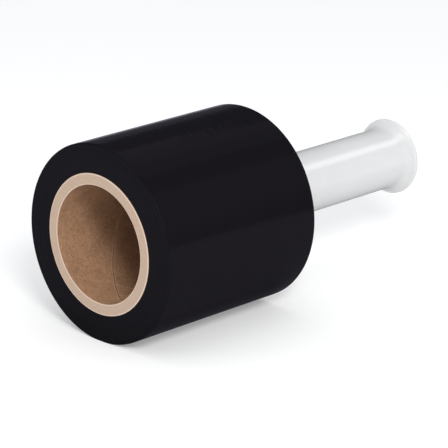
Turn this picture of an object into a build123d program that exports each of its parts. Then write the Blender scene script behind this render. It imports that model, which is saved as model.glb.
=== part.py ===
"""Stretch wrap roll: black film wound on a card core, with a plastic handle pushed into one end.

Frame: +Y runs along the roll's axis, from the open mouth of the core towards the handle, and +Z is up.
The roll lies on its side, on the small flat that its own weight presses into the film.
The origin is the centre of that flat.
"""
import math
import os

from build123d import *

# Card core: a spiral-wound tube with a three-inch bore
core_bore = 3 * IN
core_wall = 7.4
core_proud = 0.5
core_edge_round = 0.5

# Film: five inches wide, wound onto the core
film_width = 5 * IN
film_build = 18.7
film_round_mouth = 1.4
film_round_back = 0.8
flat_depth = 0.7

# Handle: one moulding, with a hub in the core, a collar over its end, a neck and a tubular grip
handle_wall = 2.4
handle_reach = 144.0
hub_depth = 55.0
hub_clearance = 0.3
hub_lead = 1.2
finger_slot_pairs = 2
finger_slot_width = 5.0
finger_slot_length = 32.0
collar_thickness = 2.6
collar_inset = 1.5
collar_clearance = 0.3
collar_round = 0.9
neck_length = 23.0
neck_step = 2.6
neck_foot_round = 4.0
neck_top_round = 14.0
grip_diameter = 41.6
flare_round = 8.0
lip_thickness = 3.2
lip_overhang = 5.2

# Radii and stations along the axis that follow from those sizes
bore_radius = core_bore / 2
core_radius = bore_radius + core_wall
core_length = film_width + 2 * core_proud
film_radius = core_radius + film_build
axis_height = film_radius - flat_depth
core_end = core_length / 2

hub_radius = bore_radius - hub_clearance
cup_radius = hub_radius - handle_wall
hub_tip = core_end - hub_depth
collar_front = core_end + collar_clearance
collar_back = collar_front + collar_thickness
collar_radius = core_radius - collar_inset
neck_foot_radius = hub_radius - neck_step
neck_end = collar_back + neck_length
grip_radius = grip_diameter / 2
grip_bore_radius = grip_radius - handle_wall

# The roll's axis, and a plane through it whose X is the distance along the axis and whose Y is the radius
roll_axis = Axis((0, 0, axis_height), (0, 1, 0))
roll_plane = Plane(origin=(0, 0, axis_height), x_dir=(0, 1, 0), z_dir=(1, 0, 0))

os.makedirs("parts", exist_ok=True)


# Film roll: all the turns as one body, its outer edges softened, pressed flat where it rests
with BuildPart() as film_roll:
    with BuildSketch(roll_plane) as film_section:
        with Locations((0, core_radius)):
            Rectangle(film_width, film_build, align=(Align.CENTER, Align.MIN))
        fillet(film_section.vertices().group_by(Axis.Y)[-1].sort_by(Axis.X)[0], radius=film_round_mouth)
        fillet(film_section.vertices().group_by(Axis.Y)[-1].sort_by(Axis.X)[-1], radius=film_round_back)
    revolve(axis=roll_axis)
    split(bisect_by=Plane.XY, keep=Keep.TOP)
film_roll.part.label = "film_roll"
export_step(film_roll.part, "parts/film_roll.step")


# Core: a plain card tube, a little longer than the film is wide, its four edges slightly rounded
with BuildPart() as core:
    with BuildSketch(roll_plane) as core_section:
        with Locations((0, bore_radius)):
            Rectangle(core_length, core_wall, align=(Align.CENTER, Align.MIN))
        fillet(core_section.vertices(), radius=core_edge_round)
    revolve(axis=roll_axis)
core.part.label = "core"
export_step(core.part, "parts/core.step")


# Handle: the lip is a bead, which the flare meets in a tangent on the outside and in the bore
lip_radius = lip_thickness / 2
lip_centre_station = film_width / 2 + handle_reach - lip_radius
lip_centre_radius = grip_radius + lip_overhang - lip_radius
bore_flare_round = flare_round + handle_wall


def flare_run(wall_radius, centre_distance, flare):
    """Length along the axis from where a flare leaves its wall to the centre of the lip's bead."""
    rise = wall_radius + flare - lip_centre_radius
    return math.sqrt(centre_distance**2 - rise**2)


def flare_turn(wall_radius, run, flare):
    """Angle in degrees that a flare turns through between its wall and the lip's bead."""
    return math.degrees(math.atan2(run, wall_radius + flare - lip_centre_radius))


outer_run = flare_run(grip_radius, flare_round + lip_radius, flare_round)
outer_turn = flare_turn(grip_radius, outer_run, flare_round)
bore_run = flare_run(grip_bore_radius, bore_flare_round - lip_radius, bore_flare_round)
bore_turn = flare_turn(grip_bore_radius, bore_run, bore_flare_round)

# The neck's inside is parallel to its outside, one wall away
neck_angle = math.atan2(neck_foot_radius - grip_radius, neck_length)
inner_neck_end = neck_end - handle_wall * math.tan(neck_angle / 2)
inner_neck_foot = inner_neck_end - (cup_radius - grip_bore_radius) / math.tan(neck_angle)

with BuildPart() as handle:
    with BuildSketch(roll_plane):
        with BuildLine():
            outside = FilletPolyline(
                (hub_tip, hub_radius - hub_lead),
                (hub_tip + 2 * hub_lead, hub_radius),
                (collar_front, hub_radius),
                (collar_front, collar_radius),
                (collar_back, collar_radius),
                (collar_back, neck_foot_radius),
                (neck_end, grip_radius),
                (lip_centre_station - outer_run, grip_radius),
                radius=[0, 0, collar_round, collar_round, neck_foot_round, neck_top_round],
            )
            flare = JernArc(outside @ 1, outside % 1, flare_round, outer_turn)
            lip = JernArc(flare @ 1, flare % 1, lip_radius, bore_turn - outer_turn - 180)
            bore_flare = JernArc(lip @ 1, lip % 1, bore_flare_round, -bore_turn)
            inside = FilletPolyline(
                bore_flare @ 1,
                (inner_neck_end, grip_bore_radius),
                (inner_neck_foot, cup_radius),
                (hub_tip, cup_radius),
                radius=[neck_top_round + handle_wall, neck_foot_round],
            )
            Line(inside @ 1, outside @ 0)
        make_face()
    revolve(axis=roll_axis)

    # Round-ended slots from the hub's open end leave spring fingers, so that it can be pushed into the core
    for number in range(finger_slot_pairs):
        turn = (number + 0.5) * 180 / finger_slot_pairs
        with BuildSketch(roll_plane.rotated((0, turn, 0))):
            with Locations((hub_tip, 0)):
                SlotOverall(2 * finger_slot_length, finger_slot_width)
        extrude(amount=core_radius, both=True, mode=Mode.SUBTRACT)
handle.part.label = "handle"
export_step(handle.part, "parts/handle.step")
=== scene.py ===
"""Stretch wrap roll: the visual model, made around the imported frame.

The roll's axis is along +Y, from the core's open mouth towards the handle, and +Z is up.
Lengths are in metres. The frame's origin is the middle of the flat that the film rests on.
"""
import math

import bmesh
import bpy
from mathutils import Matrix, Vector


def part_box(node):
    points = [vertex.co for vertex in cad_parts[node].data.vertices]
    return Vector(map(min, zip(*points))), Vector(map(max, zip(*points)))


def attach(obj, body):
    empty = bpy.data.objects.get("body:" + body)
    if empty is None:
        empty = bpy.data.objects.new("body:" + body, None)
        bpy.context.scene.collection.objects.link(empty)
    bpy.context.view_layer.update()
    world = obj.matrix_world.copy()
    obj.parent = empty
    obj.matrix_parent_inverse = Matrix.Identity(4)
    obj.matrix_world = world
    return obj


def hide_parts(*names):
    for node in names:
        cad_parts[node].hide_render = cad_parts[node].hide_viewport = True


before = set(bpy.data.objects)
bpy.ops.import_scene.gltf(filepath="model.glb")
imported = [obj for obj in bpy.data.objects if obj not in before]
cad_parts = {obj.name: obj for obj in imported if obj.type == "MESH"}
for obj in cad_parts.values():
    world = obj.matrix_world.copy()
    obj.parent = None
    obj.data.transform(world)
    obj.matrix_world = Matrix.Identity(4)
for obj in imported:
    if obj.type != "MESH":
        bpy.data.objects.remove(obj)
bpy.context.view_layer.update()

bl_info = {
    "name": "Stretch Wrap Roll",
    "version": (1, 0, 0),
    "blender": (4, 5, 0),
    "location": "3D View > Sidebar > Wrap Roll",
    "description": "Builds a hand roll of stretch film, its card core, its handle and a studio round them",
    "category": "Add Mesh",
}

MM = 0.001
FULL_TURN = 2 * math.pi
KEY_DIRECTION = (0.688, -0.465, 0.557)
FILL_DIRECTION = (-0.60, -0.75, 0.25)
FACE_ROWS = 60
SIDE_ROWS = 190
TAIL_TURN = 0.625
TENT_RADIUS = 2.0
TENT_LENGTH = 5.2
SHARP_ANGLE = math.radians(40)

# What the frame says: the ends and radii of the film and the core, and the height of the roll's axis
FILM_LOW, FILM_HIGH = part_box("film_roll")
CORE_LOW, CORE_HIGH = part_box("core")
FILM_RADIUS = (FILM_HIGH.x - FILM_LOW.x) / 2
FILM_WIDTH = FILM_HIGH.y - FILM_LOW.y
CORE_RADIUS = (CORE_HIGH.z - CORE_LOW.z) / 2
CORE_LENGTH = CORE_HIGH.y - CORE_LOW.y
AXIS_HEIGHT = (CORE_LOW.z + CORE_HIGH.z) / 2


# ---------------------------------------------------------------- settings

class FilmSettings(bpy.types.PropertyGroup):
    """Sizes and colours of the wound film."""

    mouth_rounding: bpy.props.FloatProperty(
        name="Mouth Rounding", description="Radius of the film's outer edge at the core's open end",
        default=1.4 * MM, unit="LENGTH")
    back_rounding: bpy.props.FloatProperty(
        name="Back Rounding", description="Radius of the film's outer edge at the handle's end",
        default=0.8 * MM, unit="LENGTH")
    ridge_step: bpy.props.FloatProperty(
        name="Ridge Step",
        description="Distance between the ridges that groups of turns leave on the end faces",
        default=1.3 * MM, unit="LENGTH")
    ridge_height: bpy.props.FloatProperty(
        name="Ridge Height", description="Height of the ridges on the end faces",
        default=0.03 * MM, unit="LENGTH")
    band_height: bpy.props.FloatProperty(
        name="Band Height",
        description="Height of the bands that uneven film thickness builds up round the roll",
        default=0.03 * MM, unit="LENGTH")
    pucker_height: bpy.props.FloatProperty(
        name="Pucker Height", description="Height of the puckers where the outer turns lie loose",
        default=0.11 * MM, unit="LENGTH")
    pucker_angle: bpy.props.FloatProperty(
        name="Pucker Angle",
        description="Place round the roll of the middle of the loose patch, from +X towards +Z",
        default=math.radians(76), subtype="ANGLE", unit="ROTATION")
    tail_height: bpy.props.FloatProperty(
        name="Tail Height", description="Step where the film's free end lies on the roll",
        default=0.07 * MM, unit="LENGTH")
    points_round: bpy.props.IntProperty(
        name="Points Round", description="Mesh columns round the roll", default=288, min=24)
    seed: bpy.props.IntProperty(
        name="Seed", description="Seed of the bands and wrinkles", default=4)
    colour: bpy.props.FloatVectorProperty(
        name="Film Colour", description="Colour of the black film", subtype="COLOR", size=4,
        default=(0.0078, 0.0069, 0.0090, 1.0))
    end_colour: bpy.props.FloatVectorProperty(
        name="Film End Colour", description="Colour of the wound edges on the end faces", subtype="COLOR",
        size=4,
        default=(0.0084, 0.0075, 0.0098, 1.0))


class CoreSettings(bpy.types.PropertyGroup):
    """Sizes and colours of the card core."""

    bore_radius: bpy.props.FloatProperty(
        name="Bore Radius", description="Inner radius of the core", default=38.1 * MM, unit="LENGTH")
    edge_rounding: bpy.props.FloatProperty(
        name="Edge Rounding", description="Radius of the core's cut edges", default=0.5 * MM, unit="LENGTH")
    plies: bpy.props.IntProperty(
        name="Plies", description="Layers of card in the wall", default=13, min=3)
    ply_groove: bpy.props.FloatProperty(
        name="Ply Groove", description="Depth of the line between two plies on the cut ends",
        default=0.05 * MM, unit="LENGTH")
    seam_width: bpy.props.FloatProperty(
        name="Seam Width", description="Gap between the edges of the innermost ply", default=0.7 * MM,
        unit="LENGTH")
    seam_depth: bpy.props.FloatProperty(
        name="Seam Depth", description="Depth of the gap in the innermost ply", default=0.45 * MM,
        unit="LENGTH")
    lip_height: bpy.props.FloatProperty(
        name="Lip Height", description="Rise of the ply's edge on the mouth side of the gap",
        default=0.16 * MM, unit="LENGTH")
    seam_pitch: bpy.props.FloatProperty(
        name="Seam Pitch", description="Length of core that the seam takes for one turn", default=156 * MM,
        unit="LENGTH")
    seam_low: bpy.props.FloatProperty(
        name="Seam At The Bottom",
        description="Depth from the film's mouth face at which the seam crosses the bottom",
        default=16.5 * MM, unit="LENGTH")
    inside_colour: bpy.props.FloatVectorProperty(
        name="Inside Colour", description="Colour of the kraft lining", subtype="COLOR", size=4,
        default=(0.37, 0.215, 0.125, 1.0))
    end_colour: bpy.props.FloatVectorProperty(
        name="Cut End Colour", description="Colour of the cut ends of the plies", subtype="COLOR", size=4,
        default=(0.53, 0.395, 0.30, 1.0))
    rim_colour: bpy.props.FloatVectorProperty(
        name="Cut Rim Colour", description="Colour of the scuffed rims of the cut ends", subtype="COLOR",
        size=4,
        default=(0.70, 0.55, 0.46, 1.0))


class HandleSettings(bpy.types.PropertyGroup):
    """Finish of the moulded handle."""

    colour: bpy.props.FloatVectorProperty(
        name="Handle Colour", description="Colour of the natural white plastic", subtype="COLOR", size=4,
        default=(0.70, 0.70, 0.705, 1.0))
    roughness: bpy.props.FloatProperty(
        name="Handle Roughness", description="Roughness of the moulded surface", default=0.2, min=0.0,
        max=1.0)


class StageSettings(bpy.types.PropertyGroup):
    """The floor, the lights and the camera."""

    floor_colour: bpy.props.FloatVectorProperty(
        name="Floor Colour", description="Colour of the pale floor", subtype="COLOR", size=4,
        default=(0.80, 0.80, 0.80, 1.0))
    floor_glow: bpy.props.FloatProperty(
        name="Floor Glow", description="Strength of the light that comes through the table top", default=0.28)
    floor_size: bpy.props.FloatProperty(
        name="Floor Size", description="Length of the floor's side", default=12.0, unit="LENGTH")
    fill_strength: bpy.props.FloatProperty(
        name="Fill Strength", description="Strength of the even light from all round", default=0.70)
    key_power: bpy.props.FloatProperty(
        name="Key Power", description="Power of the main softbox, in watts", default=26.0)
    fill_power: bpy.props.FloatProperty(
        name="Fill Power", description="Power of the softbox on the camera's left, in watts", default=5.0)
    film_glow_colour: bpy.props.FloatVectorProperty(
        name="Film Glow Colour", description="Colour of what the film reflects", subtype="COLOR", size=4,
        default=(0.97, 0.93, 1.14, 1.0))
    handle_tent_strength: bpy.props.FloatProperty(
        name="Handle Tent Strength", description="Strength of the white tent that the handle reflects",
        default=0.75)
    strip_strength: bpy.props.FloatProperty(
        name="Strip Strength", description="Strength of the strip light that the handle reflects",
        default=3.2)
    top_power: bpy.props.FloatProperty(
        name="Top Power", description="Power of the overhead softbox, in watts", default=1.5)
    camera_azimuth: bpy.props.FloatProperty(
        name="Camera Azimuth", description="Direction of the camera round the object, from -Y towards +X",
        default=math.radians(45.14), subtype="ANGLE", unit="ROTATION")
    camera_elevation: bpy.props.FloatProperty(
        name="Camera Elevation", description="Height of the camera's direction above the horizon",
        default=math.radians(18.34), subtype="ANGLE", unit="ROTATION")
    camera_distance: bpy.props.FloatProperty(
        name="Camera Distance", description="Distance from the camera to the point it looks at",
        default=1.6035, unit="LENGTH")
    camera_lens: bpy.props.FloatProperty(
        name="Camera Lens", description="Focal length in millimetres on a 36 mm sensor", default=198.66)


SETTINGS = {
    "wrap_film": FilmSettings,
    "wrap_core": CoreSettings,
    "wrap_handle": HandleSettings,
    "wrap_stage": StageSettings,
}


# ---------------------------------------------------------------- node and mesh helpers

class NodeMaker:
    """Adds nodes to a tree. Each call gives back an output, so that one formula can be nested in another."""

    def __init__(self, tree):
        self.tree = tree

    def put(self, socket, value):
        """Links an output to a socket, or sets the socket's own value."""
        if isinstance(value, bpy.types.NodeSocket):
            self.tree.links.new(value, socket)
        elif value is not None:
            socket.default_value = value

    def node(self, kind, inputs=None, **settings):
        """Adds a node with its settings and its named inputs, and gives back the node."""
        made = self.tree.nodes.new(kind)
        for name, value in settings.items():
            setattr(made, name, value)
        for name, value in (inputs or {}).items():
            self.put(made.inputs[name], value)
        return made

    def math(self, operation, *values):
        """One step of arithmetic."""
        made = self.node("ShaderNodeMath", operation=operation)
        for socket, value in zip(made.inputs, values):
            self.put(socket, value)
        return made.outputs[0]

    def add(self, a, b):
        return self.math("ADD", a, b)

    def subtract(self, a, b):
        return self.math("SUBTRACT", a, b)

    def multiply(self, a, b):
        return self.math("MULTIPLY", a, b)

    def divide(self, a, b):
        return self.math("DIVIDE", a, b)

    def limit(self, value, low, high):
        """Keeps a value between two limits."""
        return self.math("MINIMUM", self.math("MAXIMUM", value, low), high)

    def ramp(self, value, start, end, low=0.0, high=1.0):
        """Goes smoothly from low to high while value goes from start to end."""
        made = self.node("ShaderNodeMapRange", interpolation_type="SMOOTHSTEP")
        for socket, given in zip(made.inputs, (value, start, end, low, high)):
            self.put(socket, given)
        return made.outputs[0]

    def vector(self, x, y, z):
        made = self.node("ShaderNodeCombineXYZ")
        for socket, value in zip(made.inputs, (x, y, z)):
            self.put(socket, value)
        return made.outputs[0]

    def noise(self, vector, scale=1.0, detail=2.0, roughness=0.5):
        """Smooth noise about 0, from about -1 to 1."""
        made = self.node("ShaderNodeTexNoise", {"Vector": vector, "Scale": scale, "Detail": detail,
                                                "Roughness": roughness})
        return self.math("MULTIPLY_ADD", made.outputs[0], 2.0, -1.0)

    def blend(self, factor, a, b, kind="MIX"):
        """Mixes two colours."""
        made = self.node("ShaderNodeMix", data_type="RGBA", blend_type=kind)
        self.put(made.inputs[0], factor)
        self.put(made.inputs[6], a)
        self.put(made.inputs[7], b)
        return made.outputs[2]


def new_material(name):
    """An empty node material: the maker of its nodes and its Principled shader."""
    material = bpy.data.materials.new(name)
    material.use_nodes = True
    material.node_tree.nodes.clear()
    maker = NodeMaker(material.node_tree)
    shader = maker.node("ShaderNodeBsdfPrincipled")
    output = maker.node("ShaderNodeOutputMaterial")
    maker.put(output.inputs["Surface"], shader.outputs[0])
    return material, maker, shader


def toned(colour, factor):
    """A colour with its light scaled."""
    return [min(1.0, part * factor) for part in colour[:3]] + [1.0]


def roll_coordinates(maker):
    """Object coordinates as parts: x, y, height over the axis, and distance from the axis."""
    place = maker.node("ShaderNodeTexCoord").outputs["Object"]
    split = maker.node("ShaderNodeSeparateXYZ", {"Vector": place})
    x, y = split.outputs[0], split.outputs[1]
    rise = maker.subtract(split.outputs[2], AXIS_HEIGHT)
    radius = maker.math("SQRT", maker.add(maker.multiply(x, x), maker.multiply(rise, rise)))
    return x, y, rise, radius


def object_from_mesh(name, mesh, material):
    """Puts a mesh in the scene as an object at the origin, smooth except at its sharp edges."""
    piece = bpy.data.objects.new(name, mesh)
    bpy.context.scene.collection.objects.link(piece)
    if material is not None:
        mesh.materials.clear()
        mesh.materials.append(material)
    mesh.shade_smooth()
    mesh.set_sharp_from_angle(angle=SHARP_ANGLE)
    return piece


# ---------------------------------------------------------------- film

def film_material(settings):
    """Glossy black film, with finer unevenness than the mesh has, and duller wound edges on its end faces."""
    material, maker, shader = new_material("black_film")
    x, y, rise, radius = roll_coordinates(maker)
    on_end = maker.ramp(radius, FILM_RADIUS - 0.1 * MM, FILM_RADIUS - 1.6 * MM)

    # Fine turns on the end faces, seen as rings of slightly different tone
    ring_noise = maker.noise(maker.vector(maker.multiply(radius, 1500.0), maker.multiply(x, 12.0),
                                          maker.multiply(rise, 12.0)), detail=3.0, roughness=0.65)
    side_noise = maker.noise(maker.vector(maker.multiply(x, 22.0), maker.multiply(y, 260.0),
                                          maker.multiply(rise, 22.0)), detail=3.0, roughness=0.55)
    end_colour = maker.blend(maker.ramp(ring_noise, -0.5, 0.6), toned(settings.end_colour, 0.66),
                             settings.end_colour)
    side_colour = maker.blend(maker.ramp(side_noise, -0.8, 0.8), toned(settings.colour, 0.94),
                              settings.colour)
    maker.put(shader.inputs["Base Color"], maker.blend(on_end, side_colour, end_colour))
    maker.put(shader.inputs["Roughness"], maker.add(
        maker.multiply(on_end, 0.30), maker.ramp(side_noise, -0.8, 0.8, 0.10, 0.15)))
    shader.inputs["Specular IOR Level"].default_value = 0.09
    shader.inputs["IOR"].default_value = 1.5

    # Streaks that run round the roll, and the edges of the turns
    height = maker.add(maker.multiply(ring_noise, on_end), maker.multiply(side_noise, 0.3))
    bump = maker.node("ShaderNodeBump", {"Strength": 0.3, "Distance": 0.02 * MM, "Height": height})
    maker.put(shader.inputs["Normal"], bump.outputs[0])
    return material


FILM_SIZES = (
    "Film Radius", "Core Radius", "Film Width", "Axis Height", "Mouth Rounding", "Back Rounding",
    "Ridge Step", "Ridge Height", "Band Height", "Pucker Height", "Pucker Angle", "Tail Height", "Tail Turn",
)
FILM_COUNTS = ("Points Round", "Points Across Face", "Points Along Film", "Seed")


def film_tree():
    """Geometry nodes that wind the film: a sheet of points is rolled round the axis and closed on itself."""
    tree = bpy.data.node_groups.new("wound_film", "GeometryNodeTree")
    for name in FILM_SIZES:
        tree.interface.new_socket(name=name, in_out="INPUT", socket_type="NodeSocketFloat")
    for name in FILM_COUNTS:
        tree.interface.new_socket(name=name, in_out="INPUT", socket_type="NodeSocketInt")
    tree.interface.new_socket(name="Film Material", in_out="INPUT", socket_type="NodeSocketMaterial")
    tree.interface.new_socket(name="Geometry", in_out="OUTPUT", socket_type="NodeSocketGeometry")
    maker = NodeMaker(tree)
    given = tree.nodes.new("NodeGroupInput").outputs
    round_points, face_points, along_points = (
        given["Points Round"], given["Points Across Face"], given["Points Along Film"])
    width, film_radius, core_radius = given["Film Width"], given["Film Radius"], given["Core Radius"]
    mouth, back = given["Mouth Rounding"], given["Back Rounding"]

    # The sheet: its X counts columns round the roll, and its Y counts rows along the section
    rows = maker.add(maker.multiply(face_points, 2), maker.add(along_points, 1))
    grid = maker.node("GeometryNodeMeshGrid", {
        "Size X": round_points, "Size Y": rows,
        "Vertices X": maker.add(round_points, 1), "Vertices Y": maker.add(rows, 1)})
    place = maker.node("ShaderNodeSeparateXYZ",
                       {"Vector": tree.nodes.new("GeometryNodeInputPosition").outputs[0]})
    turn = maker.add(maker.divide(place.outputs[0], round_points), 0.5)
    row = maker.math("FLOORED_MODULO", maker.math("ROUND", maker.math(
        "MULTIPLY_ADD", rows, 0.5, place.outputs[1])), rows)

    # Distance along the section: out over the mouth face, along the film and back in over the other face
    build = maker.subtract(film_radius, core_radius)
    face_step = maker.divide(build, face_points)
    along = maker.limit(maker.subtract(row, face_points), 0.0, along_points)
    past = maker.math("MAXIMUM", maker.subtract(row, maker.add(face_points, along_points)), 0.0)
    distance = maker.add(maker.multiply(maker.math("MINIMUM", row, face_points), face_step), maker.add(
        maker.multiply(along, maker.divide(width, along_points)), maker.multiply(past, face_step)))

    # Place on the section, with both outer corners rounded
    first_start = maker.subtract(build, mouth)
    first_end = maker.add(build, mouth)
    second_start = maker.subtract(maker.add(build, width), back)
    second_end = maker.add(maker.add(build, width), back)
    first_angle = maker.multiply(maker.limit(maker.divide(maker.subtract(distance, first_start),
                                                          maker.multiply(mouth, 2)), 0.0, 1.0), math.pi / 2)
    second_angle = maker.multiply(maker.limit(maker.divide(maker.subtract(distance, second_start),
                                                           maker.multiply(back, 2)), 0.0, 1.0), math.pi / 2)
    straight = maker.limit(maker.subtract(distance, first_end), 0.0, maker.subtract(second_start, first_end))
    station = maker.add(
        maker.add(maker.multiply(width, -0.5), maker.multiply(mouth, maker.subtract(
            1.0, maker.math("COSINE", first_angle)))),
        maker.add(straight, maker.multiply(back, maker.math("SINE", second_angle))))
    radius = maker.add(
        maker.add(core_radius, maker.math("MINIMUM", distance, first_start)),
        maker.subtract(maker.multiply(mouth, maker.math("SINE", first_angle)), maker.add(
            maker.multiply(back, maker.subtract(1.0, maker.math("COSINE", second_angle))),
            maker.math("MAXIMUM", maker.subtract(distance, second_end), 0.0))))

    # Where each kind of unevenness acts
    soft = 0.8 * MM
    on_mouth = maker.limit(maker.divide(maker.subtract(first_start, distance), soft), 0.0, 1.0)
    on_back = maker.limit(maker.divide(maker.subtract(distance, second_end), soft), 0.0, 1.0)
    on_side = maker.limit(maker.divide(maker.subtract(radius, maker.subtract(film_radius, 0.3 * MM)),
                                       0.3 * MM), 0.0, 1.0)
    inside = maker.limit(maker.divide(maker.subtract(radius, core_radius), soft), 0.0, 1.0)

    # Ridges on the end faces follow the spiral of the turns
    angle = maker.multiply(turn, FULL_TURN)
    across, up = maker.math("COSINE", angle), maker.math("SINE", angle)
    wander = maker.noise(maker.vector(maker.multiply(across, 1.7), maker.add(given["Seed"], 0.5),
                                      maker.multiply(up, 1.7)), detail=1.0)
    spiral = maker.subtract(maker.divide(maker.subtract(radius, core_radius), given["Ridge Step"]), turn)
    wave = maker.math("SINE", maker.multiply(spiral, FULL_TURN))
    ring_noise = maker.noise(maker.vector(maker.multiply(radius, 900.0), given["Seed"], wander), detail=2.0)
    ridge = maker.multiply(maker.multiply(maker.add(wave, maker.multiply(ring_noise, 1.6)),
                                          given["Ridge Height"]),
                           inside)
    out_of_face = maker.multiply(ridge, maker.subtract(on_back, on_mouth))

    # Bands and puckers on the outside, and the step at the film's free end
    band = maker.noise(maker.vector(maker.multiply(across, 0.35), maker.multiply(station, 85.0),
                                    maker.add(maker.multiply(up, 0.35), given["Seed"])), detail=2.0)
    pucker = maker.noise(maker.vector(maker.multiply(across, 3.2), maker.multiply(station, 150.0),
                                      maker.add(maker.multiply(up, 3.2), given["Seed"])), detail=3.0,
                                      roughness=0.6)
    from_patch = maker.subtract(angle, given["Pucker Angle"])
    loose = maker.add(
        maker.ramp(maker.math("COSINE", from_patch), math.cos(math.radians(34)), math.cos(math.radians(12))),
        maker.ramp(maker.math("COSINE", maker.subtract(from_patch, math.radians(140))),
                   math.cos(math.radians(40)), math.cos(math.radians(12))))
    wound = maker.math("FRACT", maker.subtract(turn, given["Tail Turn"]))
    rise = maker.add(maker.add(maker.multiply(band, given["Band Height"]),
                               maker.multiply(maker.multiply(pucker, loose), given["Pucker Height"])),
                     maker.multiply(maker.subtract(wound, 0.5), given["Tail Height"]))
    final_radius = maker.add(radius, maker.multiply(rise, on_side))
    height = maker.math("SMOOTH_MAX", maker.math("MULTIPLY_ADD", final_radius, up, given["Axis Height"]), 0.0,
                        0.15 * MM)
    position = maker.vector(maker.multiply(final_radius, across), maker.add(station, out_of_face), height)

    rolled = maker.node("GeometryNodeSetPosition", {"Geometry": grid.outputs["Mesh"], "Position": position})
    closed = maker.node("GeometryNodeMergeByDistance", {"Geometry": rolled.outputs[0],
                                                        "Distance": 0.001 * MM})
    real = maker.node("GeometryNodeRealizeInstances", {"Geometry": closed.outputs[0]})
    finished = maker.node("GeometryNodeSetMaterial", {"Geometry": real.outputs[0],
                                                      "Material": given["Film Material"]})
    result = tree.nodes.new("NodeGroupOutput")
    maker.put(result.inputs["Geometry"], finished.outputs[0])
    return tree


def mesh_from_tree(name, tree, values):
    """Runs a geometry nodes tree on an empty mesh and gives back the result as a plain mesh."""
    seed_object = bpy.data.objects.new(name + "_seed", bpy.data.meshes.new(name + "_seed"))
    bpy.context.scene.collection.objects.link(seed_object)
    modifier = seed_object.modifiers.new("nodes", "NODES")
    modifier.node_group = tree
    identifiers = {item.name: item.identifier for item in tree.interface.items_tree
                   if item.item_type == "SOCKET" and item.in_out == "INPUT"}
    for input_name, value in values.items():
        modifier[identifiers[input_name]] = value
    bpy.context.view_layer.update()
    evaluated = seed_object.evaluated_get(bpy.context.evaluated_depsgraph_get())
    mesh = bpy.data.meshes.new_from_object(evaluated)
    mesh.name = name
    bpy.data.objects.remove(seed_object)
    if not mesh.polygons:
        raise RuntimeError(f"{tree.name} made no faces")
    return mesh


class WRAPROLL_OT_film(bpy.types.Operator):
    """Wind the black film round the core"""

    bl_idname = "wraproll.film"
    bl_label = "Film"

    def execute(self, context):
        settings = context.scene.wrap_film
        material = film_material(settings)
        mesh = mesh_from_tree("film_roll_wound", film_tree(), {
            "Film Radius": FILM_RADIUS,
            "Core Radius": CORE_RADIUS,
            "Film Width": FILM_WIDTH,
            "Axis Height": AXIS_HEIGHT,
            "Mouth Rounding": settings.mouth_rounding,
            "Back Rounding": settings.back_rounding,
            "Ridge Step": settings.ridge_step,
            "Ridge Height": settings.ridge_height,
            "Band Height": settings.band_height,
            "Pucker Height": settings.pucker_height,
            "Pucker Angle": settings.pucker_angle,
            "Tail Height": settings.tail_height,
            "Tail Turn": TAIL_TURN,
            "Points Round": settings.points_round,
            "Points Across Face": FACE_ROWS,
            "Points Along Film": SIDE_ROWS,
            "Seed": settings.seed,
            "Film Material": material,
        })
        piece = object_from_mesh("film_roll_wound", mesh, None)
        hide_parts("film_roll")
        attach(piece, "roll")
        return {"FINISHED"}


# ---------------------------------------------------------------- core

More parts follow.
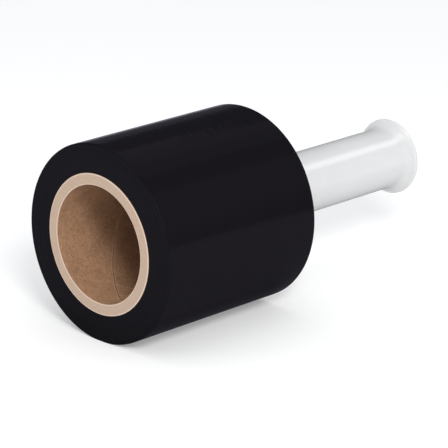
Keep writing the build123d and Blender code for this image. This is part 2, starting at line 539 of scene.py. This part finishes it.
def card_material(settings):
    """Kraft card: mottled fibres inside the tube and on its outside, paler cut plies on its ends, and painted
    shade in the seam's gap.
    """
    material, maker, shader = new_material("core_card")
    x, y, rise, radius = roll_coordinates(maker)
    cut_end = maker.ramp(maker.math("ABSOLUTE", y), CORE_LENGTH / 2 - 0.45 * MM, CORE_LENGTH / 2 - 0.15 * MM)
    place = maker.vector(x, y, rise)

    cloud = maker.noise(place, scale=95.0, detail=3.0, roughness=0.6)
    mottle = maker.noise(place, scale=620.0, detail=3.0, roughness=0.7)
    fleck = maker.noise(place, scale=1900.0, detail=2.0)
    tone = maker.add(maker.multiply(cloud, 0.25), maker.add(maker.multiply(mottle, 0.55),
                                                            maker.multiply(fleck, 0.2)))
    lining = maker.blend(maker.ramp(tone, -0.38, 0.38), toned(settings.inside_colour, 0.70),
                         toned(settings.inside_colour, 1.26))
    gap = maker.node("ShaderNodeAttribute", attribute_name="gap").outputs["Fac"]
    lip = maker.node("ShaderNodeAttribute", attribute_name="lip").outputs["Fac"]
    lining = maker.blend(maker.multiply(lip, 0.5), lining, settings.end_colour)
    # Painted shade: the lining is darkened to a quarter of its colour in the seam's gap, where shade falls
    lining = maker.blend(maker.multiply(gap, 0.8), lining, toned(settings.inside_colour, 0.25))

    # The cut plies: each has its own tone, with a thin dark line of glue, and both rims are paler
    across = maker.subtract(radius, settings.bore_radius)
    ply = maker.multiply(across, settings.plies / (CORE_RADIUS - settings.bore_radius))
    ply_tone = maker.node("ShaderNodeTexWhiteNoise", {"W": maker.math("FLOOR", ply)},
                          noise_dimensions="1D").outputs["Value"]
    line = maker.ramp(maker.math("ABSOLUTE", maker.subtract(maker.math("FRACT", ply), 0.5)), 0.34, 0.5)
    rim = maker.add(maker.ramp(radius, settings.bore_radius + 0.9 * MM, settings.bore_radius + 0.3 * MM),
                    maker.ramp(radius, CORE_RADIUS - 1.1 * MM, CORE_RADIUS - 0.5 * MM))
    grain = maker.ramp(maker.noise(place, scale=900.0, detail=3.0, roughness=0.7), -0.5, 0.6)
    end = maker.blend(grain, toned(settings.end_colour, 0.86), settings.end_colour)
    end = maker.blend(maker.multiply(ply_tone, 0.5), end, toned(settings.end_colour, 0.84))
    end = maker.blend(maker.multiply(line, 0.5), end, toned(settings.end_colour, 0.68))
    end = maker.blend(maker.multiply(rim, 0.75), end, settings.rim_colour)
    maker.put(shader.inputs["Base Color"], maker.blend(cut_end, lining, end))
    shader.inputs["Roughness"].default_value = 0.85
    shader.inputs["Specular IOR Level"].default_value = 0.25

    bump = maker.node("ShaderNodeBump", {"Strength": 0.7, "Distance": 0.12 * MM,
                                         "Height": maker.add(maker.multiply(mottle, 0.6),
                                                             maker.multiply(fleck, 0.3))})
    maker.put(shader.inputs["Normal"], bump.outputs[0])
    return material


def core_section(settings):
    """The core's closed section as (station, radius) points, from the bore at its mouth round to the bore."""
    half, bore, outer, edge = CORE_LENGTH / 2, settings.bore_radius, CORE_RADIUS, settings.edge_rounding
    ply = (outer - bore) / settings.plies
    corner = [math.radians(a) for a in (0, 22.5, 45, 67.5, 90)]
    face = []
    for number in range(1, settings.plies):
        line = bore + number * ply
        face += [(line - 0.3 * ply, 0.0), (line, settings.ply_groove), (line + 0.3 * ply, 0.0)]
    points = []
    points += [(-half + edge - edge * math.sin(a), bore + edge - edge * math.cos(a)) for a in corner]
    points += [(-half + dip, radius) for radius, dip in face]
    points += [(-half + edge - edge * math.cos(a), outer - edge + edge * math.sin(a)) for a in corner]
    points += [(half - edge + edge * math.sin(a), outer - edge + edge * math.cos(a)) for a in corner]
    points += [(half - dip, radius) for radius, dip in reversed(face)]
    points += [(half - edge + edge * math.cos(a), bore + edge - edge * math.sin(a)) for a in corner]
    bore_rows = 84
    step = (CORE_LENGTH - 2 * edge) / bore_rows
    points += [(half - edge - number * step, bore) for number in range(1, bore_rows)]
    return points


def core_mesh(settings):
    """The spiral-wound tube. Its columns follow the spiral, so that the seam in the bore has clean edges."""
    half_gap = settings.seam_width / 2
    lip = settings.lip_height
    # Each column near the seam: its distance round the bore from the gap's middle, its rise, how much of it
    # takes the painted shade of the gap, and how much is the paler lip of the ply's edge
    seam_columns = [
        (-4.0 * MM, 0.0, 0.0, 0.0),
        (-half_gap - 1.1 * MM, 0.15 * lip, 0.0, 0.0),
        (-half_gap - 0.6 * MM, 0.9 * lip, 0.0, 0.8),
        (-half_gap - 0.15 * MM, lip, 0.0, 1.0),
        (-half_gap, 0.2 * lip, 0.5, 0.5),
        (-0.85 * half_gap, -settings.seam_depth, 1.0, 0.0),
        (0.85 * half_gap, -settings.seam_depth, 1.0, 0.0),
        (half_gap, -0.1 * MM, 0.4, 0.0),
        (half_gap + 0.4 * MM, 0.0, 0.0, 0.0),
        (4.0 * MM, 0.0, 0.0, 0.0),
    ]
    plain_columns = 196
    start, end = seam_columns[-1][0], FULL_TURN * settings.bore_radius + seam_columns[0][0]
    columns = seam_columns + [(start + (end - start) * number / plain_columns, 0.0, 0.0, 0.0)
                              for number in range(1, plain_columns)]

    section = core_section(settings)
    bottom = -math.pi / 2
    mouth = -FILM_WIDTH / 2
    vertices, gaps, lips = [], [], []
    for station, radius in section:
        seam_angle = bottom - (station - mouth - settings.seam_low) / settings.seam_pitch * FULL_TURN
        in_bore = radius <= settings.bore_radius + 0.01 * MM
        for offset, climb, gap, raised in columns:
            angle = seam_angle + offset / settings.bore_radius
            reach = radius - (climb if in_bore else 0.0)
            vertices.append((reach * math.cos(angle), station, AXIS_HEIGHT + reach * math.sin(angle)))
            gaps.append(gap if in_bore else 0.0)
            lips.append(raised if in_bore else 0.0)
    rows, count = len(section), len(columns)
    faces = []
    for row in range(rows):
        for column in range(count):
            next_row, next_column = (row + 1) % rows, (column + 1) % count
            faces.append((row * count + column, row * count + next_column,
                          next_row * count + next_column, next_row * count + column))
    mesh = bpy.data.meshes.new("core_wound")
    mesh.from_pydata(vertices, [], faces)
    for name, values in (("gap", gaps), ("lip", lips)):
        mesh.attributes.new(name, "FLOAT", "POINT").data.foreach_set("value", values)
    mesh.update()
    return mesh


class WRAPROLL_OT_core(bpy.types.Operator):
    """Make the spiral-wound card core"""

    bl_idname = "wraproll.core"
    bl_label = "Core"

    def execute(self, context):
        settings = context.scene.wrap_core
        piece = object_from_mesh("core_wound", core_mesh(settings), card_material(settings))
        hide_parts("core")
        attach(piece, "roll")
        return {"FINISHED"}


# ---------------------------------------------------------------- handle

def handle_material(settings):
    """Natural white polyethylene: milky, a little see-through at its edges, with a soft moulded gloss."""
    material, maker, shader = new_material("handle_plastic")
    x, y, rise, radius = roll_coordinates(maker)
    place = maker.vector(x, y, rise)
    cloud = maker.noise(place, scale=30.0, detail=2.0)
    maker.put(shader.inputs["Base Color"], maker.blend(maker.ramp(cloud, -0.6, 0.6),
                                                       toned(settings.colour, 0.975),
                                                       settings.colour))
    grain = maker.noise(place, scale=2600.0, detail=2.0)
    maker.put(shader.inputs["Roughness"], maker.ramp(grain, -0.8, 0.8, settings.roughness - 0.03,
                                                     settings.roughness + 0.05))
    shader.inputs["Subsurface Weight"].default_value = 0.5
    shader.inputs["Subsurface Radius"].default_value = (1.0, 0.95, 0.9)
    shader.inputs["Subsurface Scale"].default_value = 2.5 * MM
    shader.inputs["Specular IOR Level"].default_value = 0.45
    bump = maker.node("ShaderNodeBump", {"Strength": 0.12, "Distance": 0.03 * MM, "Height": grain})
    maker.put(shader.inputs["Normal"], bump.outputs[0])
    return material


class WRAPROLL_OT_handle(bpy.types.Operator):
    """Finish the moulded handle"""

    bl_idname = "wraproll.handle"
    bl_label = "Handle"

    def execute(self, context):
        material = handle_material(context.scene.wrap_handle)
        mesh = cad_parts["handle"].data
        mesh.materials.clear()
        mesh.materials.append(material)
        return {"FINISHED"}


# ---------------------------------------------------------------- stage

def glow_material(name, colour):
    """A surface that only gives off light: the maker of its nodes and its emission node."""
    material = bpy.data.materials.new(name)
    material.use_nodes = True
    material.node_tree.nodes.clear()
    maker = NodeMaker(material.node_tree)
    glow = maker.node("ShaderNodeEmission", {"Color": colour})
    output = maker.node("ShaderNodeOutputMaterial")
    maker.put(output.inputs["Surface"], glow.outputs[0])
    return material, maker, glow


def shine_only_on(source, *pieces):
    """Limits the light of a lamp or card to some pieces."""
    receivers = bpy.data.collections.new(source.name + "_receivers")
    for piece in pieces:
        receivers.objects.link(piece)
    source.light_linking.receiver_collection = receivers


def add_card(name, corners, faces, material, *pieces):
    """Cards that only the gloss of some pieces shows, as a studio's cards and flags do."""
    mesh = bpy.data.meshes.new(name)
    mesh.from_pydata(corners, [], faces)
    card = bpy.data.objects.new(name, mesh)
    bpy.context.scene.collection.objects.link(card)
    mesh.materials.append(material)
    card.visible_camera = False
    card.visible_diffuse = False
    card.visible_transmission = False
    card.visible_volume_scatter = False
    card.visible_shadow = False
    shine_only_on(card, *pieces)
    return card


def arch(radius, length, first_angle, last_angle, steps):
    """Corners and faces of an arch over the roll's axis, between two angles from +X towards +Z."""
    corners, faces = [], []
    for number in range(steps + 1):
        angle = first_angle + (last_angle - first_angle) * number / steps
        for station in (-length / 2, length / 2):
            corners.append((radius * math.cos(angle), station, AXIS_HEIGHT + radius * math.sin(angle)))
    for number in range(steps):
        faces.append((2 * number, 2 * number + 1, 2 * number + 3, 2 * number + 2))
    return corners, faces


def film_tent(settings, film):
    """What the glossy film reflects: a dim arch over it, and a table top that is darker near the roll, a
    painted shadow of the roll.
    """
    colour = settings.film_glow_colour
    material, maker, glow = glow_material("tent_arch", colour)
    x, y, rise, radius = roll_coordinates(maker)
    angle = maker.multiply(maker.math("ARCTAN2", rise, x), 180 / math.pi)
    slant = maker.limit(maker.multiply(maker.subtract(1.8, y), 140.0), -8.0, 8.0)
    roof_end = maker.add(slant, 120.0)
    light = maker.add(maker.ramp(angle, 0.0, 28.0, 0.0, 0.14), maker.ramp(angle, 92.0, 106.0, 0.0, 0.05))
    light = maker.subtract(light, maker.ramp(angle, maker.subtract(roof_end, 1.5), maker.add(roof_end, 1.5),
                                             0.0, 0.15))
    light = maker.add(light, maker.ramp(angle, 155.0, 160.0, 0.0, 0.06))
    maker.put(glow.inputs["Strength"], light)
    corners, faces = arch(TENT_RADIUS, TENT_LENGTH, 0.0, math.pi, 60)
    add_card("tent_arch", corners, faces, material, film)

    material, maker, glow = glow_material("tent_table", colour)
    x, y, rise, radius = roll_coordinates(maker)
    # Painted shadow: the table card glows less near the roll, standing for the roll's shadow on the table in
    # the film's reflection
    beside = maker.math("MAXIMUM", maker.subtract(maker.math("ABSOLUTE", x), 0.7 * FILM_RADIUS), 0.0)
    beyond = maker.math("MAXIMUM", maker.subtract(maker.math("ABSOLUTE", y), FILM_WIDTH / 2), 0.0)
    away = maker.math("SQRT", maker.add(maker.multiply(beside, beside), maker.multiply(beyond, beyond)))
    painted_shadow_fade = maker.subtract(1.0, maker.math("EXPONENT", maker.divide(away, -0.07)))
    maker.put(glow.inputs["Strength"], maker.math("MULTIPLY_ADD", painted_shadow_fade, 0.31, 0.05))
    edge = [(2.6, 1.995), (0.444, 0.437), (0.10, 0.40), (-0.30, 0.90), (-2.6, 2.6), (-2.6, -2.6), (2.6, -2.6)]
    height = 1 * MM
    add_card("tent_table", [(x, y, height) for x, y in edge], [tuple(range(len(edge)))], material, film)

    material, maker, glow = glow_material("key_card", (1.0, 1.0, 1.0, 1.0))
    way = Vector(KEY_DIRECTION).normalized()
    middle = Vector((0.0, 0.0, AXIS_HEIGHT)) + way * 2.1
    right = way.cross(Vector((0, 0, 1))).normalized() * 0.7
    up = right.cross(way).normalized() * 0.7
    corners = [middle - right - up, middle + right - up, middle + right + up, middle - right + up]
    add_card("key_card", corners, [(0, 1, 2, 3)], material, film)


def handle_tent(settings, handle):
    """What the handle reflects: an even white tent, with a long strip of light over the roll."""
    material, maker, glow = glow_material("white_tent", (1.0, 1.0, 1.0, 1.0))
    glow.inputs["Strength"].default_value = settings.handle_tent_strength
    shell = bmesh.new()
    bmesh.ops.create_uvsphere(shell, u_segments=32, v_segments=16, radius=4.0)
    shell.verts.ensure_lookup_table()
    corners = [tuple(corner.co) for corner in shell.verts]
    faces = [tuple(corner.index for corner in face.verts) for face in shell.faces]
    shell.free()
    add_card("white_tent", corners, faces, material, handle)

    material, maker, glow = glow_material("strip_light", (1.0, 1.0, 1.0, 1.0))
    glow.inputs["Strength"].default_value = settings.strip_strength
    corners, faces = arch(TENT_RADIUS - 0.1, TENT_LENGTH, math.radians(60), math.radians(82), 6)
    add_card("strip_light", corners, faces, material, handle)


def add_softbox(name, direction, target, distance, size, power, colour=(1.0, 1.0, 1.0)):
    """An area light that faces the target from a direction."""
    light = bpy.data.lights.new(name, "AREA")
    light.shape = "RECTANGLE"
    light.size, light.size_y = size
    light.energy = power
    light.color = colour
    lamp = bpy.data.objects.new(name, light)
    way = Vector(direction).normalized()
    lamp.location = Vector(target) + way * distance
    lamp.rotation_euler = way.to_track_quat("Z", "Y").to_euler()
    lamp.visible_glossy = False
    bpy.context.scene.collection.objects.link(lamp)
    return lamp


class WRAPROLL_OT_stage(bpy.types.Operator):
    """Set the floor, the lights and the camera"""

    bl_idname = "wraproll.stage"
    bl_label = "Stage"

    def execute(self, context):
        settings = context.scene.wrap_stage
        middle = Vector((0.0, 0.0, AXIS_HEIGHT))

        material, maker, shader = new_material("pale_floor")
        place = maker.node("ShaderNodeTexCoord").outputs["Object"]
        cloud = maker.noise(place, scale=3.0, detail=2.0)
        maker.put(shader.inputs["Base Color"], maker.blend(maker.ramp(cloud, -1, 1),
                                                           toned(settings.floor_colour, 0.985),
                                                           settings.floor_colour))
        shader.inputs["Emission Color"].default_value = (1.0, 1.0, 1.0, 1.0)
        shader.inputs["Emission Strength"].default_value = settings.floor_glow
        shader.inputs["Roughness"].default_value = 0.9
        shader.inputs["Specular IOR Level"].default_value = 0.1
        side = settings.floor_size / 2
        mesh = bpy.data.meshes.new("floor")
        corners = [(-side, -side, 0), (side, -side, 0), (side, side, 0), (-side, side, 0)]
        mesh.from_pydata(corners, [], [(0, 1, 2, 3)])
        mesh.materials.append(material)
        floor = bpy.data.objects.new("floor", mesh)
        context.scene.collection.objects.link(floor)
        floor.visible_glossy = False

        film_tent(settings, bpy.data.objects["film_roll_wound"])
        handle_tent(settings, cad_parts["handle"])

        # Softboxes: the key stands to the camera's right, the fill to its left, and one hangs over the roll
        add_softbox("key", KEY_DIRECTION, middle, 2.2, (0.5, 0.5), settings.key_power)
        add_softbox("fill", FILL_DIRECTION, middle, 2.2, (0.9, 0.9), settings.fill_power)
        add_softbox("top", (0.0, 0.0, 1.0), middle, 1.5, (1.1, 1.1), settings.top_power)

        world = bpy.data.worlds.new("studio")
        world.use_nodes = True
        background = world.node_tree.nodes["Background"]
        background.inputs["Color"].default_value = (0.97, 0.985, 1.0, 1.0)
        background.inputs["Strength"].default_value = settings.fill_strength
        world.cycles_visibility.glossy = False
        context.scene.world = world
        context.scene.view_settings.view_transform = "Standard"

        azimuth, elevation = settings.camera_azimuth, settings.camera_elevation
        back = Vector((math.sin(azimuth) * math.cos(elevation), -math.cos(azimuth) * math.cos(elevation),
                       math.sin(elevation)))
        camera_data = bpy.data.cameras.new("camera")
        camera_data.lens = settings.camera_lens
        camera_data.clip_start = 0.05
        camera_data.clip_end = 50.0
        camera = bpy.data.objects.new("camera", camera_data)
        aim = Vector((0.0, 0.0459, AXIS_HEIGHT - 0.012))
        camera.location = aim + back * settings.camera_distance
        camera.rotation_euler = back.to_track_quat("Z", "Y").to_euler()
        context.scene.collection.objects.link(camera)
        context.scene.camera = camera
        return {"FINISHED"}


# ---------------------------------------------------------------- panel and registration

class WRAPROLL_PT_panel(bpy.types.Panel):
    """Lists the steps that build the roll"""

    bl_label = "Stretch Wrap Roll"
    bl_idname = "WRAPROLL_PT_panel"
    bl_space_type = "VIEW_3D"
    bl_region_type = "UI"
    bl_category = "Wrap Roll"

    def draw(self, context):
        for operator, pointer in zip(OPERATORS, SETTINGS):
            column = self.layout.column(align=True)
            column.operator(operator.bl_idname)
            group = getattr(context.scene, pointer)
            for name in SETTINGS[pointer].__annotations__:
                column.prop(group, name)


OPERATORS = (WRAPROLL_OT_film, WRAPROLL_OT_core, WRAPROLL_OT_handle, WRAPROLL_OT_stage)


def register():
    for settings in SETTINGS.values():
        bpy.utils.register_class(settings)
    for pointer, settings in SETTINGS.items():
        setattr(bpy.types.Scene, pointer, bpy.props.PointerProperty(type=settings))
    for operator in OPERATORS:
        bpy.utils.register_class(operator)
    bpy.utils.register_class(WRAPROLL_PT_panel)


def unregister():
    bpy.utils.unregister_class(WRAPROLL_PT_panel)
    for operator in reversed(OPERATORS):
        bpy.utils.unregister_class(operator)
    for pointer in SETTINGS:
        delattr(bpy.types.Scene, pointer)
    for settings in reversed(list(SETTINGS.values())):
        bpy.utils.unregister_class(settings)


def main():
    """Builds every piece."""
    register()
    bpy.ops.wraproll.film()
    bpy.ops.wraproll.core()
    bpy.ops.wraproll.handle()
    bpy.ops.wraproll.stage()


if __name__ == "__main__":
    main()
